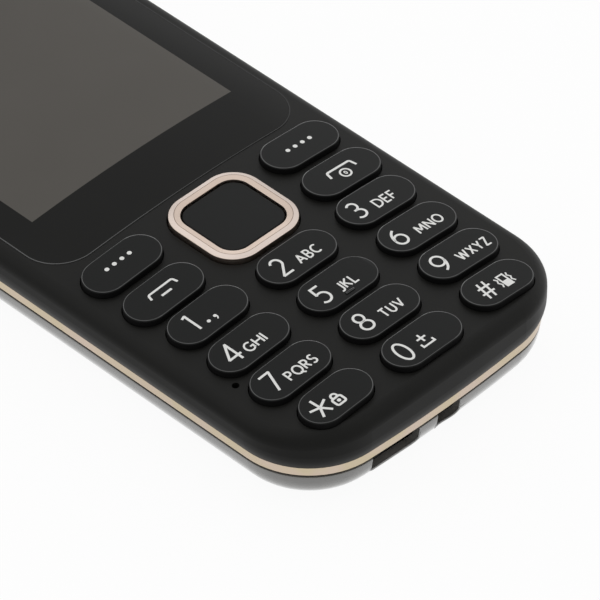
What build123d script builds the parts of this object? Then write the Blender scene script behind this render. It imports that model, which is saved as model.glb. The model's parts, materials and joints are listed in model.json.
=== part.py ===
from build123d import *
import os
from math import sqrt

os.makedirs("parts", exist_ok=True)

# A bar-shaped keypad phone, lying on its back. X is its right, Y its top end, Z up through the keys.
# The origin is on the floor under the middle of the phone. All sizes are in millimetres.

# Plan outline, measured at the trim band
body_length = 118.0
body_width = 50.0
end_radius = 227.0
corner_radius = 11.4
top_end = body_length / 2
bottom_end = -body_length / 2
side_x = body_width / 2

# Heights of the stacked casings
cover_height = 5.15
cover_wall = 1.0
cover_side_wall = 1.1
cover_roundness = 4.95
cover_inset = 0.1
cover_gap = 0.3
lip_gap = 0.05
lip_height = 0.2
lip_inset = 0.4
band_height = 1.5
band_wall = 1.2
band_edge = 0.25
band_fit = 0.05
shell_height = 6.65
face_wall = 1.9
shell_wall = 2.0
bulge = 0.62
bulge_radius = 4.6
bulge_ease = 0.02
face_edge_radius = 2.0
crown_radius = 240.0

# Display window, from its margins inside the outline
view_side_margin = 6.64
view_top_margin = 11.34
view_bottom_margin = 57.7
view_width = body_width - 2 * view_side_margin
view_height = body_length - view_top_margin - view_bottom_margin
view_bottom = bottom_end + view_bottom_margin
view_corner = 0.8
window_margin = 1.0
lens_margin = 1.8
lens_bottom = bottom_end + 48.5
lens_corner = 6.0
lens_thickness = 1.0
lens_proud = 0.06
lens_fit = 0.08
lens_edge = 0.12
tape_thickness = 0.2
tape_margin = 0.6
module_side_margin = 3.65
module_width = body_width - 2 * module_side_margin
module_top_margin = 3.2
module_bottom_margin = 7.5
backlight_thickness = 1.2
panel_thickness = 1.3
gasket_width = 1.2
gasket_thickness = 0.35

# Earpiece
ear_y = top_end - 5.1
ear_slot = 9.0
ear_slot_width = 1.4
ear_mesh_thickness = 0.15
ear_length = 12.0
ear_width = 4.6
ear_height = 2.2

# Keys
column_pitch = side_x - 9.4
key_gap = 3.1
key_length = column_pitch - key_gap
key_width = 6.3
key_proud = 0.9
key_edge = 0.22
key_clearance = 0.15
key_travel = 0.35
key_stop = 0.05
soft_key_x = side_x - 8.5
soft_key_y = bottom_end + 43.4
call_key_y = bottom_end + 35.6
first_row_y = bottom_end + 28.35
row_pitch = 7.55
middle_drop = 0.8
corner_key_trim = 1.25
ear_reach = 0.8
ear_band = 4.0
ear_wall_gap = 0.3
flange_gap = 0.1
flange_thickness = 0.6
pocket_depth = 0.7
plunger_radius = 1.3
tick_length = 2.4
tick_width = 0.4
tick_height = 0.15
tick_ease = 0.004
tick_x = 1.9
tick_y = -2.1

# Navigation key
nav_y = bottom_end + 39.3
nav_half = 7.38
nav_corner = 4.37
ring_width = 1.6
ring_edge = 0.35
ring_clearance = 0.25
ring_proud = 0.95
ring_flange_reach = 0.5
ring_flange_gap = 0.55
nav_rise = 0.35
ring_flange_thickness = 0.5
ok_clearance = 0.23
ok_proud = 0.62
nav_dome_offset = 5.5
web_drop = 3.4
web_thickness = 0.45
web_half_width = 3.2
web_overhang = 1.4
web_hole_radius = 1.9

# Board, domes and mat
board_thickness = 0.8
board_margin = 0.6
film_thickness = 0.1
dome_radius = 2.0
dome_top_radius = 1.0
dome_height = 0.25
dome_hole_clearance = 0.3
mat_thickness = 1.2
mat_margin = 0.8
mat_end_gap = 2.1

# Screws
screw_radius = 0.8
screw_head_radius = 1.4
screw_head_height = 0.7
screw_fit = 0.05
head_clearance = 0.15
screw_head_z = 2.2
screw_reach = 2.1
screw_end_gap = 0.2
screw_slot = 0.3
screw_root = 0.1
boss_radius = 1.5
boss_gap = 0.05
post_radius = 2.3
post_lift = 0.2
side_screw_x = side_x - 4.4
lower_screw_y = bottom_end + 24.6
upper_screw_y = bottom_end + 47.8
top_screw_x = side_x - 8.0
top_screw_y = top_end - 5.7

# Rear housing and battery
tub_floor = 1.0
tub_wall = 1.2
battery_width = body_width - 16.0
battery_length = body_length - 65.0
battery_thickness = 4.75
battery_foot = 19.9
battery_y = bottom_end + battery_foot + battery_length / 2
battery_corner = 1.5
battery_corner_ease = 0.3
battery_side_gap = 0.4
battery_end_gap = 0.5
battery_top_gap = 0.1
bay_roof = 0.6
bridge_width = 1.6
card_window_length = 17.0
card_window_half_width = side_x - 3.1
lower_cavity_gap = 1.8
upper_cavity_gap = 1.6
contact_count = 3
contact_pitch = 3.0
contact_x = -6.0
contact_width = 1.2
contact_height = 3.0
contact_reach = 0.4
contact_block_width = 9.4
contact_fit = 0.1
contact_tip_height = 1.2

# Card sockets
socket_height = 1.4
card_gap = 0.45
socket_side_gap = 0.45
memory_socket_width = 11.6
sim_socket_width = card_window_half_width - memory_socket_width / 2 - card_gap - socket_side_gap
sim_socket_length = 15.6
memory_socket_length = 14.0
slot_wall = 0.25

# Ports at the bottom end
usb_x = -9.3
usb_width = 7.5
usb_height = 2.65
usb_depth = 5.6
usb_wall = 0.3
usb_mouth_depth = 4.2
usb_tongue_width = 3.9
usb_tongue_height = 0.65
usb_tongue_inset = 0.5
usb_mouth_inset = 2.1
usb_opening_width = 8.6
usb_opening_bottom = 2.3
usb_opening_corner = 1.0
port_fit = 0.1
port_reach = 4.35
port_overrun = 5.0
jack_x = 0.25
jack_z = 3.45
jack_bore_radius = 1.8
jack_bore_length = 11.0
jack_body_width = 6.2
jack_body_height = 4.2
jack_body_length = 12.0
jack_mouth_inset = 4.0
jack_opening_radius = 2.2
jack_head_room = 0.3
port_board_left = -15.0
port_board_right = 7.0
port_board_end = bottom_end + 15.5
port_board_thickness = 0.6
port_board_margin = 0.8
connector_length = 6.0
connector_width = 2.4
connector_x = -9.0
connector_y = bottom_end + 13.0

# Microphone
mic_x = 3.4 - side_x
mic_y = bottom_end + 17.2
mic_hole_radius = 0.5
mic_size = 2.4
mic_height = 0.9
boot_radius = 1.1
boot_fit = 0.1

# Vibration motor
motor_x = side_x - 10.2
motor_y = bottom_end + 10.5
motor_radius = 2.0
motor_length = 6.6
motor_gap = 0.05
shaft_radius = 0.4
shaft_length = 3.0
weight_radius = 1.8
weight_length = 2.4
weight_gap = 0.3
weight_fit = 0.05
weight_flat = 0.6

# Back of the top end
camera_y = top_end - 14.0
camera_size = 7.4
camera_barrel_radius = 2.4
camera_barrel_gap = 0.3
camera_bore_radius = 2.7
camera_boss_radius = 4.1
camera_boss_drop = 0.7
camera_glass_radius = 3.4
camera_glass_thickness = 0.6
camera_glass_proud = 0.1
camera_glass_fit = 0.05
camera_hole_clearance = 0.3
speaker_x = 11.6 - side_x
speaker_y = top_end - 15.8
speaker_width = 11.0
speaker_length = 14.0
speaker_height = 3.5
speaker_seat = 0.2
speaker_opening_margin = 1.5
speaker_contact_width = 1.0
speaker_contact_length = 2.0
grille_slots = 5
grille_pitch = 2.0
grille_slot_width = 1.0
grille_slot_length = 9.0
can_x = side_x - 11.6
can_y = top_end - 15.8
can_width = 14.0
can_length = 12.0
can_height = 1.5
can_corner = 0.6
antenna_length = body_width - 24.0
antenna_width = 3.4
antenna_height = 2.6
antenna_wall = 0.7
antenna_y = top_end - 5.0

# Torch in the top end
torch_x = 9.0
torch_z = 9.5
torch_radius = 1.7
torch_fit = 0.05
torch_collar = 0.5
torch_collar_length = 0.8
torch_led_size = 2.6
torch_led_height = 2.2
torch_led_gap = 0.6

# Levels worked out from the stack
lip_bottom = cover_height + lip_gap
band_bottom = lip_bottom + lip_height
band_top = band_bottom + band_height
face_top = band_top + shell_height
tub_bottom = cover_wall + cover_gap
tub_top = tub_bottom + tub_floor
board_top = band_top + board_thickness
film_top = board_top + film_thickness
mat_top = film_top + mat_thickness
dome_top = board_top + dome_height
plunger_bottom = dome_top + key_travel + key_stop
side_gap = cover_inset + cover_side_wall + cover_gap
view_center_y = view_bottom + view_height / 2
lens_seat = lens_thickness + tape_thickness
flange_drop = face_wall + flange_gap
far = 40.0


def outline(grow=0.0):
    """Plan of the phone: two straight sides, two shallow end arcs and four tangent corners."""
    half_width = body_width / 2 + grow
    half_length = body_length / 2 + grow
    end_arc = end_radius + grow
    corner = corner_radius + grow
    corner_x = half_width - corner
    end_center = half_length - end_arc
    corner_y = end_center + sqrt((end_arc - corner) ** 2 - corner_x ** 2)
    reach_x = corner_x / (end_arc - corner)
    reach_y = (corner_y - end_center) / (end_arc - corner)
    meet_x = end_arc * reach_x
    meet_y = end_center + end_arc * reach_y
    turn = sqrt((1 + reach_x) ** 2 + reach_y ** 2)
    mid_x = corner_x + corner * (1 + reach_x) / turn
    mid_y = corner_y + corner * reach_y / turn
    edges = []
    for side in (1, -1):
        edges.append(Line((side * half_width, -side * corner_y), (side * half_width, side * corner_y)))
        edges.append(ThreePointArc((side * half_width, side * corner_y), (side * mid_x, side * mid_y),
                                   (side * meet_x, side * meet_y)))
        edges.append(ThreePointArc((side * meet_x, side * meet_y), (0, side * half_length),
                                   (-side * meet_x, side * meet_y)))
        edges.append(ThreePointArc((-side * meet_x, side * meet_y), (-side * mid_x, side * mid_y),
                                   (-side * half_width, side * corner_y)))
    return make_face(edges)


def prism(plan, bottom, top):
    """A plan raised from one level to another."""
    return extrude(Pos(0, 0, bottom) * plan, amount=top - bottom)


def block(width, length, bottom, top, x=0.0, y=0.0):
    """A plain block on a centre, between two levels."""
    return Pos(x, y, (bottom + top) / 2) * Box(width, length, top - bottom)


def post(radius, bottom, top, x=0.0, y=0.0):
    """A round post or drill, between two levels."""
    return Pos(x, y, (bottom + top) / 2) * Cylinder(radius, top - bottom)


def lying(radius, start, end, x, z):
    """A round bar or drill along the length of the phone."""
    return Pos(x, (start + end) / 2, z) * Rot(90, 0, 0) * Cylinder(radius, end - start)


def crosswise(radius, start, end, y, z):
    """A round bar across the width of the phone."""
    return Pos((start + end) / 2, y, z) * Rot(0, 90, 0) * Cylinder(radius, end - start)


def crown(offset):
    """Everything under the crowned face, or under a skin that far above it."""
    drum = Cylinder(crown_radius + offset, 4 * body_length)
    return Pos(0, 0, face_top - crown_radius) * Rot(90, 0, 0) * drum


def crown_level(x, offset):
    """Height of the crowned face at a distance from the centre line."""
    return face_top - crown_radius + sqrt((crown_radius + offset) ** 2 - x ** 2)


def layer(plan, upper, lower):
    """A plan cut from the skin between two offsets of the crowned face."""
    return prism(plan, band_top, face_top + far) & crown(upper) - crown(lower)


def one(shape):
    """The single solid of a shape that is made of one."""
    return shape.solids()[0]


def only_largest(shape):
    """The main solid, without crumbs."""
    return shape.solids().sort_by(SortBy.VOLUME)[-1]


def rounded(width, length, corner, x=0.0, y=0.0):
    """A rounded rectangle in plan."""
    return Pos(x, y) * RectangleRounded(width, length, corner)


def pill(length, width, x=0.0, y=0.0):
    """A stadium in plan, lying across the phone."""
    return Pos(x, y) * SlotOverall(length, width)


def lens_plan(shrink=0.0):
    """Plan of the display lens: the phone's outline, cut off above the keys with two round corners."""
    low = lens_bottom + shrink
    top = top_end * 2
    width = body_width - 2 * lens_margin - 2 * shrink
    cut = rounded(width, top - low, lens_corner - shrink, 0, (top + low) / 2)
    return outline(-lens_margin - shrink) & cut


def ear_plan(grow=0.0):
    """Plan of the earpiece slot."""
    return pill(ear_slot + 2 * grow, ear_slot_width + 2 * grow, 0, ear_y)


def view_plan(grow=0.0):
    """Plan of the lit area of the display."""
    return rounded(view_width + 2 * grow, view_height + 2 * grow, view_corner + grow, 0, view_center_y)


def key_places():
    """Name, centre and length of every keycap."""
    places = [("soft_key_left", -soft_key_x, soft_key_y, key_length),
              ("soft_key_right", soft_key_x, soft_key_y, key_length),
              ("call_key", -soft_key_x, call_key_y, key_length),
              ("end_key", soft_key_x, call_key_y, key_length)]
    names = ["key_1", "key_2", "key_3", "key_4", "key_5", "key_6",
             "key_7", "key_8", "key_9", "key_star", "key_0", "key_hash"]
    for index, name in enumerate(names):
        row = index // 3
        column = index % 3 - 1
        x = column * column_pitch
        y = first_row_y - row * row_pitch
        length = key_length
        if column == 0:
            y -= middle_drop
        elif row == 3:
            length -= corner_key_trim
            x -= column * corner_key_trim / 2
        places.append((name, x, y, length))
    return places


def nav_domes():
    """Centres of the five domes under the navigation key."""
    return [(0, nav_y), (nav_dome_offset, nav_y), (-nav_dome_offset, nav_y),
            (0, nav_y + nav_dome_offset), (0, nav_y - nav_dome_offset)]


def dome_places():
    """Centres of all the domes."""
    return [(x, y) for name, x, y, length in key_places()] + nav_domes()


def screw_places():
    """Centres of the six housing screws."""
    rows = [(side_screw_x, lower_screw_y), (side_screw_x, upper_screw_y), (top_screw_x, top_screw_y)]
    return [(side * x, y) for x, y in rows for side in (-1, 1)]


def port_notches(top, start, end):
    """Cutters through an end wall for the two ports."""
    jack = lying(jack_opening_radius, start, end, jack_x, jack_z)
    jack += Pos(jack_x, (start + end) / 2, (jack_z + top) / 2) * Box(2 * jack_opening_radius, end - start,
                                                                   top - jack_z)
    usb_middle = (usb_opening_bottom + top) / 2
    usb = Pos(usb_x, (start + end) / 2, usb_middle) * Box(usb_opening_width, end - start,
                                                         top - usb_opening_bottom)
    lower = usb.edges().filter_by(Axis.Y).group_by(Axis.Z)[0]
    usb = fillet(lower, usb_opening_corner)
    return jack, usb


def grille(bottom, top):
    """Cutters for the loudspeaker slots."""
    slots = []
    for index in range(grille_slots):
        x = speaker_x + (index - (grille_slots - 1) / 2) * grille_pitch
        plan = Pos(x, speaker_y) * Rot(0, 0, 90) * SlotOverall(grille_slot_length, grille_slot_width)
        slots.append(prism(plan, bottom, top))
    return slots


def front_shell():
    """Front casing: barrel sides, crowned face, lens seat, key openings and screw bosses."""
    widest = band_top + sqrt(bulge_radius ** 2 - (bulge_radius - bulge) ** 2)
    outer = prism(outline(bulge), widest - bulge_radius, face_top + 1) & crown(0)
    outer = fillet(outer.faces().sort_by(Axis.Z)[-1].edges(), face_edge_radius)
    outer = fillet(outer.faces().sort_by(Axis.Z)[0].edges(), bulge_radius - bulge_ease)
    outer -= block(2 * body_width, 2 * body_length, -far, band_top)
    inner = prism(outline(-shell_wall), band_top - 1, face_top) & crown(-face_wall)
    shell = outer - inner
    for x, y in screw_places():
        boss = post(boss_radius, board_top + boss_gap, crown_level(abs(x), -face_wall / 2), x, y)
        shell += boss
        shell -= post(screw_radius + screw_fit, band_top, board_top + screw_reach, x, y)
    shell -= layer(lens_plan(-lens_fit), 1, -lens_seat)
    shell -= prism(view_plan(window_margin), band_top, face_top + 1)
    shell -= prism(ear_plan(), band_top, face_top + 1)
    for name, x, y, length in key_places():
        plan = pill(length + 2 * key_clearance, key_width + 2 * key_clearance, x, y)
        shell -= layer(plan, 1, -face_wall - pocket_depth)
    nav = 2 * (nav_half + ring_clearance)
    shell -= prism(rounded(nav, nav, nav_corner + ring_clearance, 0, nav_y), board_top, face_top + 1)
    shell -= post(mic_hole_radius, board_top, face_top + 1, mic_x, mic_y)
    shell -= lying(torch_radius + torch_fit, top_end - far / 8, top_end + far, torch_x, torch_z)
    inside = top_end - shell_wall
    shell -= lying(torch_radius + torch_collar + torch_fit, inside - 1, inside + torch_collar_length,
                   torch_x, torch_z)
    return only_largest(shell)


def trim_band():
    """Plated band between the casings, with a bright bevel along its lower edge."""
    band = prism(outline(), band_bottom, band_top)
    band = chamfer(band.faces().sort_by(Axis.Z)[0].edges(), band_edge)
    return one(band - prism(outline(-band_wall), band_bottom - 1, band_top + 1))


def battery_cover():
    """Clip-fitted back cover, rounded into its floor, with port notches, grille and camera hole."""
    outer = prism(outline(-cover_inset), 0, cover_height)
    outer = fillet(outer.faces().sort_by(Axis.Z)[0].edges(), cover_roundness)
    inner = prism(outline(-cover_inset - cover_side_wall), cover_wall, cover_height + far)
    inner = fillet(inner.faces().sort_by(Axis.Z)[0].edges(), cover_roundness - cover_wall)
    cover = outer - inner
    for notch in port_notches(cover_height + 1, bottom_end - port_overrun, bottom_end + port_reach):
        cover -= notch
    for slot in grille(-1, tub_bottom):
        cover -= slot
    cover -= post(camera_boss_radius + camera_hole_clearance, -1, tub_bottom, 0, camera_y)
    return only_largest(cover)


def bay_top():
    """Level of the roof over the battery."""
    return band_top - bay_roof


def bay_ends():
    """Lower and upper end of the battery bay."""
    return battery_y - battery_length / 2 - battery_end_gap, battery_y + battery_length / 2 + battery_end_gap


def cavity_bounds():
    """Where the lower cavity ends and the upper cavity begins."""
    low, high = bay_ends()
    return low - lower_cavity_gap, high + bridge_width + card_window_length + upper_cavity_gap


def rear_housing():
    """Rear casing: battery bay, card window, port and speaker cavities, band seat and collar."""
    tub = prism(outline(-side_gap), tub_bottom, lip_bottom)
    tub = fillet(tub.faces().sort_by(Axis.Z)[0].edges(), cover_roundness - cover_wall - cover_gap)
    housing = tub + prism(outline(-lip_inset), lip_bottom, band_bottom)
    housing += prism(outline(-band_wall - band_fit), band_bottom, band_top)
    low, high = bay_ends()
    bay = rounded(battery_width + 2 * battery_side_gap, high - low, battery_corner, 0, (low + high) / 2)
    housing -= prism(bay, 0, bay_top())
    window_low = high + bridge_width
    window = rounded(2 * card_window_half_width, card_window_length, battery_corner, 0,
                     window_low + card_window_length / 2)
    housing -= prism(window, 0, band_top + 1)
    lower_edge, upper_edge = cavity_bounds()
    room = prism(outline(-side_gap - tub_wall), tub_top, band_top + 1)
    housing -= room & block(body_width, far, 0, far, 0, lower_edge - far / 2)
    housing -= room & block(body_width, far, 0, far, 0, upper_edge + far / 2)
    for x, y in screw_places():
        housing += post(post_radius, tub_bottom + post_lift, band_top, x, y) & room
        housing -= post(screw_radius + screw_fit, 0, far, x, y)
        housing -= post(screw_head_radius + head_clearance, 0, screw_head_z + screw_head_height, x, y)
    for notch in port_notches(band_bottom, bottom_end - port_overrun, bottom_end + port_reach):
        housing -= notch
    usb_bottom, usb_top = usb_levels()
    usb_end = bottom_end + usb_mouth_inset + usb_depth + port_fit
    housing -= block(usb_width + 2 * port_fit, usb_end + top_end, usb_bottom - port_fit, usb_top + port_fit,
                     usb_x, (usb_end - top_end) / 2)
    jack_end = bottom_end + jack_mouth_inset + jack_body_length + port_fit
    jack_start = bottom_end + jack_mouth_inset - port_fit
    housing -= block(jack_body_width + 2 * port_fit, jack_end - jack_start, 0, band_bottom + jack_head_room,
                     jack_x, (jack_end + jack_start) / 2)
    housing += post(camera_boss_radius, tub_bottom - camera_boss_drop, tub_bottom, 0, camera_y)
    housing -= post(camera_bore_radius, 0, tub_top, 0, camera_y)
    glass_top = tub_bottom - camera_boss_drop - camera_glass_proud + camera_glass_thickness
    housing -= post(camera_glass_radius + camera_glass_fit, 0, glass_top, 0, camera_y)
    opening_width = speaker_width - 2 * speaker_opening_margin
    opening_length = speaker_length - 2 * speaker_opening_margin
    housing -= prism(rounded(opening_width, opening_length, battery_corner, speaker_x, speaker_y), 0, tub_top)
    housing -= block(contact_block_width + 2 * contact_fit, bridge_width + 1, tub_top, bay_top(),
                     contact_x, high + bridge_width / 2)
    return only_largest(housing)


def display_lens():
    """Clear crowned window over the display, with the earpiece slot through it."""
    lens = layer(lens_plan(), lens_proud, -lens_thickness)
    lens = fillet(lens.faces().sort_by(Axis.Z)[-1].edges(), lens_edge)
    return one(lens - prism(ear_plan(), band_top, face_top + 1))


def lens_tape():
    """Black adhesive frame that carries the lens and masks all but the lit area."""
    tape = layer(lens_plan(tape_margin), -lens_thickness, -lens_seat)
    tape -= prism(view_plan(), band_top, face_top + 1)
    return one(tape - prism(ear_plan(), band_top, face_top + 1))


def module_span():
    """Centre and length of the display module along the phone."""
    low = view_bottom - module_bottom_margin
    high = view_bottom + view_height + module_top_margin
    return (low + high) / 2, high - low


def backlight_unit():
    """Moulded frame and light guide under the display panel."""
    middle, length = module_span()
    top = board_top + backlight_thickness
    unit = prism(rounded(module_width, length, view_corner, 0, middle), board_top, top)
    guide = block(view_width, view_height, top - backlight_thickness / 3, top + 1, 0, view_center_y)
    return one(unit - guide)


def lcd_panel():
    """Display glass."""
    middle, length = module_span()
    bottom = board_top + backlight_thickness
    plan = rounded(module_width, length, view_corner, 0, middle)
    return one(prism(plan, bottom, bottom + panel_thickness))


def display_gasket():
    """Foam frame between the display glass and the front casing."""
    bottom = board_top + backlight_thickness + panel_thickness
    outer = view_plan(window_margin + gasket_width)
    frame = prism(outer, bottom, bottom + gasket_thickness)
    return one(frame - prism(view_plan(window_margin), bottom - 1, bottom + 2))


def circuit_board():
    """Main board on the rear housing."""
    board = prism(outline(-shell_wall - board_margin), band_top, board_top)
    for x, y in screw_places():
        board -= post(screw_radius + 2 * screw_fit, 0, far, x, y)
    return one(board)


def pad_plan():
    """Plan of the sheets under the keys."""
    top = view_bottom - module_bottom_margin - mat_end_gap
    return outline(-shell_wall - mat_margin) & (Pos(0, top - far) * Rectangle(body_width, 2 * far))


def pierced_sheet(bottom, top):
    """A sheet under the keys, with a hole for every dome, screw boss and the microphone boot."""
    sheet = prism(pad_plan(), bottom, top)
    for x, y in dome_places():
        sheet -= post(dome_radius + dome_hole_clearance, 0, far, x, y)
    for x, y in screw_places():
        sheet -= post(boss_radius + dome_hole_clearance, 0, far, x, y)
    sheet -= block(mic_size + 2 * boot_fit, mic_size + 2 * boot_fit, 0, far, mic_x, mic_y)
    return only_largest(sheet)


def key_domes():
    """Snap domes, one under each key and five under the navigation key."""
    domes = []
    for x, y in dome_places():
        dome = Cone(dome_radius, dome_top_radius, dome_height)
        domes.append(Pos(x, y, board_top + dome_height / 2) * dome)
    return Compound(children=domes)


def keycap(name, x, y, length):
    """One key: crowned stadium cap, two retaining ears under the face and a plunger over its dome."""
    cap = layer(pill(length, key_width, x, y), key_proud, -flange_drop)
    cap = fillet(cap.faces().sort_by(Axis.Z)[-1].edges(), key_edge)
    ears = rounded(length + 2 * ear_reach, ear_band, ear_band / 5, x, y)
    ears = ears & outline(-shell_wall - ear_wall_gap)
    cap += layer(ears, -flange_drop, -flange_drop - flange_thickness)
    plunger_top = crown_level(abs(x), -flange_drop - flange_thickness / 2)
    cap += post(plunger_radius, plunger_bottom, plunger_top, x, y)
    if name == "key_5":
        tick = rounded(tick_length, tick_width, tick_width / 2 - tick_ease, x + tick_x, y + tick_y)
        cap += layer(tick, key_proud + tick_height, key_proud - tick_height)
    return one(cap)


def ok_key():
    """Centre key inside the navigation ring."""
    half = nav_half - ring_width - ok_clearance
    corner = nav_corner - ring_width - ok_clearance
    cap = layer(rounded(2 * half, 2 * half, corner, 0, nav_y), ok_proud, -flange_drop - flange_thickness)
    cap = fillet(cap.faces().sort_by(Axis.Z)[-1].edges(), key_edge)
    cap += post(plunger_radius, plunger_bottom, face_top - flange_drop, 0, nav_y)
    return one(cap)


def nav_ring():
    """Four-way ring: bevelled square frame with a flange below and two plungers, left and right."""
    inner = 2 * (nav_half - ring_width)
    frame = rounded(2 * nav_half, 2 * nav_half, nav_corner, 0, nav_y)
    hole = rounded(inner, inner, nav_corner - ring_width, 0, nav_y)
    flange_top = -face_wall - ring_flange_gap
    ring = layer(frame, ring_proud, flange_top)
    ring = fillet(ring.faces().sort_by(Axis.Z)[-1].edges(), ring_edge)
    flange_half = nav_half + ring_flange_reach
    flange = rounded(2 * flange_half, 2 * flange_half, nav_corner + ring_flange_reach, 0, nav_y)
    flange = layer(flange, flange_top, flange_top - ring_flange_thickness)
    ring = ring + flange - prism(hole, band_top, face_top + 2)
    for side in (-1, 1):
        ring += post(plunger_radius, plunger_bottom, face_top + flange_top, side * nav_dome_offset, nav_y)
    ok_room = flange_drop + flange_thickness + key_travel + nav_rise
    return only_largest(ring - prism(hole, face_top - ok_room, face_top + 2))


def nav_web():
    """Gimbal bar under the ring, which tips up and down and carries the other two plungers."""
    top = face_top - web_drop
    length = 2 * (nav_dome_offset + web_overhang)
    bar = prism(rounded(2 * web_half_width, length, web_half_width / 2, 0, nav_y), top - web_thickness, top)
    bar -= post(web_hole_radius, 0, far, 0, nav_y)
    for side in (-1, 1):
        y = nav_y + side * nav_dome_offset
        bar += post(plunger_radius, plunger_bottom, top - web_thickness / 2, 0, y)
    return one(bar)


def earpiece():
    """Receiver capsule over the board, under its slot."""
    body = prism(rounded(ear_length, ear_width, ear_width / 5, 0, ear_y), board_top, board_top + ear_height)
    return one(fillet(body.faces().sort_by(Axis.Z)[-1].edges(), ear_width / 12))


def earpiece_mesh():
    """Dust mesh in the earpiece slot."""
    top = -lens_thickness / 2
    return one(layer(ear_plan(-ear_mesh_thickness / 3), top, top - ear_mesh_thickness))


def loudspeaker():
    """Loudspeaker box behind the grille, with two spring contacts up to the board."""
    bottom = tub_top + speaker_seat
    box = prism(rounded(speaker_width, speaker_length, battery_corner, speaker_x, speaker_y), bottom,
                bottom + speaker_height)
    for side in (-1, 1):
        box += block(speaker_contact_width, speaker_contact_length, bottom + speaker_height / 2, band_top,
                     speaker_x + side * speaker_width / 4, speaker_y + speaker_length / 3)
    return one(box)


def speaker_mesh():
    """Dust mesh between the loudspeaker and its opening."""
    mesh = rounded(speaker_width - speaker_opening_margin, speaker_length - speaker_opening_margin,
                   battery_corner, speaker_x, speaker_y)
    return one(prism(mesh, tub_top, tub_top + speaker_seat))


def microphone():
    """Microphone capsule on the board."""
    return one(block(mic_size, mic_size, board_top, board_top + mic_height, mic_x, mic_y))


def microphone_boot():
    """Rubber tube from the microphone to its hole in the face."""
    top = crown_level(abs(mic_x) + boot_radius, -face_wall) - boot_fit
    tube = post(boot_radius, board_top + mic_height, top, mic_x, mic_y)
    return one(tube - post(mic_hole_radius, 0, far, mic_x, mic_y))


def motor_axis_z():
    """Height of the motor shaft."""
    return tub_top + motor_gap + motor_radius


def vibration_motor():
    """Motor can on the floor of the lower cavity, with its shaft."""
    z = motor_axis_z()
    start = motor_x - motor_length / 2
    can = crosswise(motor_radius, start, motor_x + motor_length / 2, motor_y, z)
    return one(can + crosswise(shaft_radius, start - shaft_length, start + 1, motor_y, z))


def vibration_weight():
    """Eccentric weight that turns on the motor shaft."""
    z = motor_axis_z()
    end = motor_x - motor_length / 2 - weight_gap
    weight = crosswise(weight_radius, end - weight_length, end, motor_y, z)
    weight -= Pos(end - weight_length / 2, motor_y, z + weight_radius + weight_flat) * Box(
        2 * weight_length, 4 * weight_radius, 2 * weight_radius)
    return one(weight - crosswise(shaft_radius + weight_fit, end - 2 * weight_length, end + 1, motor_y, z))


def usb_levels():
    """Bottom and top of the charging socket."""
    top = port_board_bottom()
    return top - usb_height, top


def port_board_bottom():
    """Underside of the port board, level with the top of the audio socket."""
    return jack_z + jack_body_height / 2


def port_board():
    """Small board over the two ports, with a plug that reaches the main board."""
    bottom = port_board_bottom()
    top = bottom + port_board_thickness
    room = prism(outline(-side_gap - tub_wall - port_board_margin), bottom, top)
    width = port_board_right - port_board_left
    middle = (port_board_right + port_board_left) / 2
    board = room & block(width, far, 0, far, middle, port_board_end - far / 2)
    return one(board + block(connector_length, connector_width, top - port_board_thickness / 2, band_top,
                             connector_x, connector_y))


def usb_socket():
    """Charging socket: drawn metal shell with a contact tongue."""
    bottom, top = usb_levels()
    mouth = bottom_end + usb_mouth_inset
    shell = block(usb_width, usb_depth, bottom, top, usb_x, mouth + usb_depth / 2)
    shell = fillet(shell.edges().filter_by(Axis.Y).group_by(Axis.Z)[0], usb_wall)
    hollow = block(usb_width - 2 * usb_wall, usb_mouth_depth, bottom + usb_wall, top - usb_wall,
                   usb_x, mouth + usb_mouth_depth / 2)
    shell -= hollow
    middle = (bottom + top) / 2
    tongue = block(usb_tongue_width, usb_mouth_depth, middle, middle + usb_tongue_height,
                   usb_x, mouth + usb_mouth_depth / 2 + usb_tongue_inset)
    return one(shell + tongue)


def audio_jack():
    """Audio socket with a blind round bore."""
    mouth = bottom_end + jack_mouth_inset
    half = jack_body_height / 2
    body = block(jack_body_width, jack_body_length, jack_z - half, jack_z + half,
                 jack_x, mouth + jack_body_length / 2)
    return one(body - lying(jack_bore_radius, mouth - 1, mouth + jack_bore_length, jack_x, jack_z))


def camera_module():
    """Camera block under the board with its barrel pointing back."""
    body = block(camera_size, camera_size, tub_top + motor_gap, band_top, 0, camera_y)
    glass_top = tub_bottom - camera_boss_drop - camera_glass_proud + camera_glass_thickness
    return one(body + post(camera_barrel_radius, glass_top + camera_barrel_gap, tub_top + 1, 0, camera_y))


def camera_window():
    """Round glass in the rear housing, seen through the hole in the cover."""
    bottom = tub_bottom - camera_boss_drop - camera_glass_proud
    disc = post(camera_glass_radius, bottom, bottom + camera_glass_thickness, 0, camera_y)
    return one(chamfer(disc.faces().sort_by(Axis.Z)[0].edges(), camera_glass_proud))


def torch_led():
    """Lamp on the top edge of the board."""
    front = top_end - shell_wall - torch_led_gap
    return one(block(torch_led_size, torch_led_size, board_top, board_top + torch_led_height, torch_x,
                     front - torch_led_size / 2))


def torch_lens():
    """Clear plug in the top end wall."""
    inside = top_end - shell_wall
    lens = lying(torch_radius, inside, top_end + bulge / 2, torch_x, torch_z)
    lens += lying(torch_radius + torch_collar, inside - torch_fit, inside + torch_collar_length - torch_fit,
                  torch_x, torch_z)
    tip = lens.faces().sort_by(Axis.Y)[-1].edges()
    return one(fillet(tip, torch_radius / 6))


def antenna():
    """Moulded antenna carrier at the top end of the rear housing."""
    body = block(antenna_length, antenna_width, tub_top, tub_top + antenna_height, 0, antenna_y)
    hollow = block(antenna_length - 2 * antenna_wall, antenna_width - 2 * antenna_wall,
                   tub_top - 1, tub_top + antenna_height - antenna_wall, 0, antenna_y)
    return one(body - hollow)


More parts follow.
